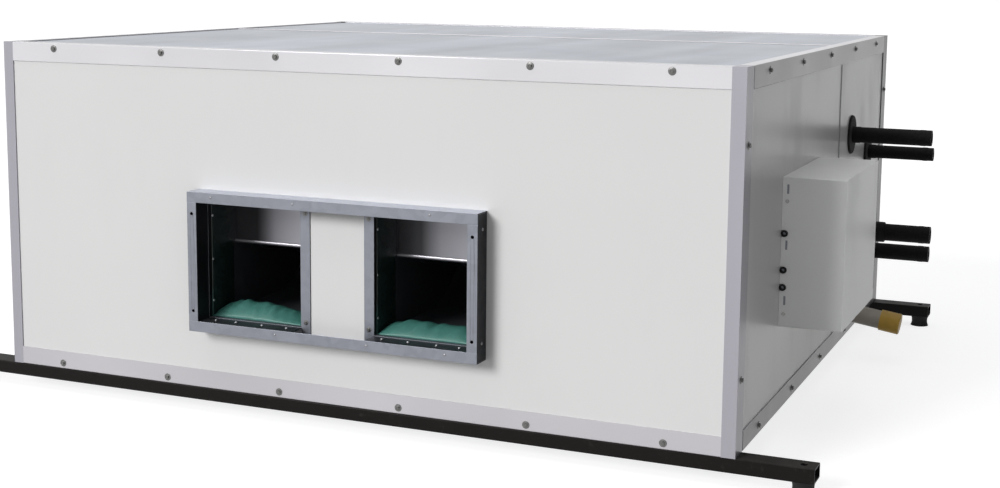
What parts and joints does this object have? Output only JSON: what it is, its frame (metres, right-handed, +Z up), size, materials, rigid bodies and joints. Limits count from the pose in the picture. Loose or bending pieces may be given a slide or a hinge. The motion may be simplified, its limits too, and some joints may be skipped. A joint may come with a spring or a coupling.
{
  "type": "ducted air conditioner",
  "caption": "Ceiling-hung ducted air conditioner: sheet casing on rails, twin fan outlet with flange, belt-driven fans, coil, side pipes and control box.",
  "frame": {"origin": "middle of the four hanging holes, level with the underside of the rail isolators", "axes": "+X to the right seen from the outlet side, where the pipes and control box are; +Y towards the return side; +Z up"},
  "size_m": [1.808, 1.4405, 0.7],
  "materials": {
    "panel_paint": "off-white painted sheet, smooth satin",
    "box_paint": "light grey painted sheet, satin",
    "galvanised_sheet": "galvanised sheet, dull silver",
    "trim_metal": "pale grey satin trim",
    "bright_steel": "bright steel",
    "screw_zinc": "zinc plated",
    "black_steel": "black painted steel",
    "black_rubber": "matt black rubber",
    "black_foam": "closed-cell foam sleeve, matt black",
    "lining_foam": "thermal lining foam",
    "green_canvas": "coated canvas, glossy green",
    "cast_grey": "painted cast iron",
    "belt_rubber": "fabric covered V-belt",
    "motor_paint": "blue-grey enamel",
    "coil_fins": "pressed fins, bare aluminium",
    "copper": "drawn copper tube",
    "drain_plastic": "off-white drain pipe",
    "cap_plastic": "ochre yellow cap",
    "terminal_plastic": "moulded black plastic",
    "board_resin": "circuit board resin",
    "filter_aluminium": "mill finish frame",
    "filter_nylon": "woven nylon filter mesh"
  },
  "bodies": {
    "casing": {"front_panel": "panel_paint", "rear_panel": "galvanised_sheet", "base_panel": "galvanised_sheet", "top_panel_fan": "galvanised_sheet", "top_panel_coil": "galvanised_sheet", "left_panel_fan": "panel_paint", "left_panel_coil": "panel_paint", "right_panel_fan": "panel_paint", "right_panel_coil": "panel_paint", "insulation_pads": "lining_foam", "corner_posts": "trim_metal", "top_trims": "trim_metal", "bottom_trims": "trim_metal", "casing_screws": "screw_zinc", "front_rail": "black_steel", "rear_rail": "black_steel", "rail_isolators": "black_rubber", "outlet_cross_angles": "galvanised_sheet", "outlet_side_angles": "galvanised_sheet", "outlet_throats": "galvanised_sheet", "outlet_screws": "screw_zinc", "flex_connectors": "green_canvas", "fan_housing_left": "galvanised_sheet", "fan_housing_right": "galvanised_sheet", "cutoff_plates": "bright_steel", "fan_bearings": "cast_grey", "bearing_brackets": "galvanised_sheet", "fan_stand": "galvanised_sheet", "drive_belt": "belt_rubber", "motor": "motor_paint", "motor_rails": "galvanised_sheet", "coil_block": "coil_fins", "coil_end_plates": "galvanised_sheet", "coil_return_bends": "copper", "coil_baffles": "galvanised_sheet", "drain_pan": "galvanised_sheet", "drain_pan_supports": "lining_foam", "gas_headers": "copper", "liquid_headers": "copper", "pipe_sleeves": "black_foam", "pipe_rosettes": "black_rubber", "drain_pipe": "drain_plastic", "control_box_tray": "galvanised_sheet", "cable_grommets": "black_rubber", "terminal_block": "terminal_plastic", "contactor": "terminal_plastic", "control_board": "board_resin", "filter_channels": "galvanised_sheet"},
    "fan_rotor": {"fan_shaft": "bright_steel", "impeller_left": "galvanised_sheet", "impeller_right": "galvanised_sheet", "driven_pulley": "cast_grey"},
    "motor_rotor": {"motor_shaft": "bright_steel", "motor_pulley": "cast_grey"},
    "control_cover": {"control_box_cover": "box_paint"},
    "filter_left": {"filter_frame_left": "filter_aluminium", "filter_mesh_left": "filter_nylon"},
    "filter_right": {"filter_frame_right": "filter_aluminium", "filter_mesh_right": "filter_nylon"},
    "drain_cap_body": {"drain_cap": "cap_plastic"}
  },
  "joints": [
    {"name": "fan_spin", "type": "hinge", "parent": "casing", "child": "fan_rotor", "pos_m": [0, -0.46, 0.399], "axis": [-1, 0, 0], "continuous": true},
    {"name": "motor_spin", "type": "hinge", "parent": "casing", "child": "motor_rotor", "pos_m": [0.369, -0.09, 0.2], "axis": [-1, 0, 0], "continuous": true},
    {"name": "control_cover_lift", "type": "slide", "parent": "casing", "child": "control_cover", "axis": [1, 0, 0], "range_m": [0, 0.15]},
    {"name": "filter_left_slide", "type": "slide", "parent": "casing", "child": "filter_left", "axis": [-1, 0, 0], "range_m": [0, 0.66]},
    {"name": "filter_right_slide", "type": "slide", "parent": "casing", "child": "filter_right", "axis": [1, 0, 0], "range_m": [0, 0.66]},
    {"name": "drain_cap_pull", "type": "slide", "parent": "casing", "child": "drain_cap_body", "axis": [0.9888, 0, -0.1495], "range_m": [0, 0.06]}
  ],
  "couplings": [
    {"joint": "motor_spin", "follows": "fan_spin", "ratio": 1.6522}
  ]
}
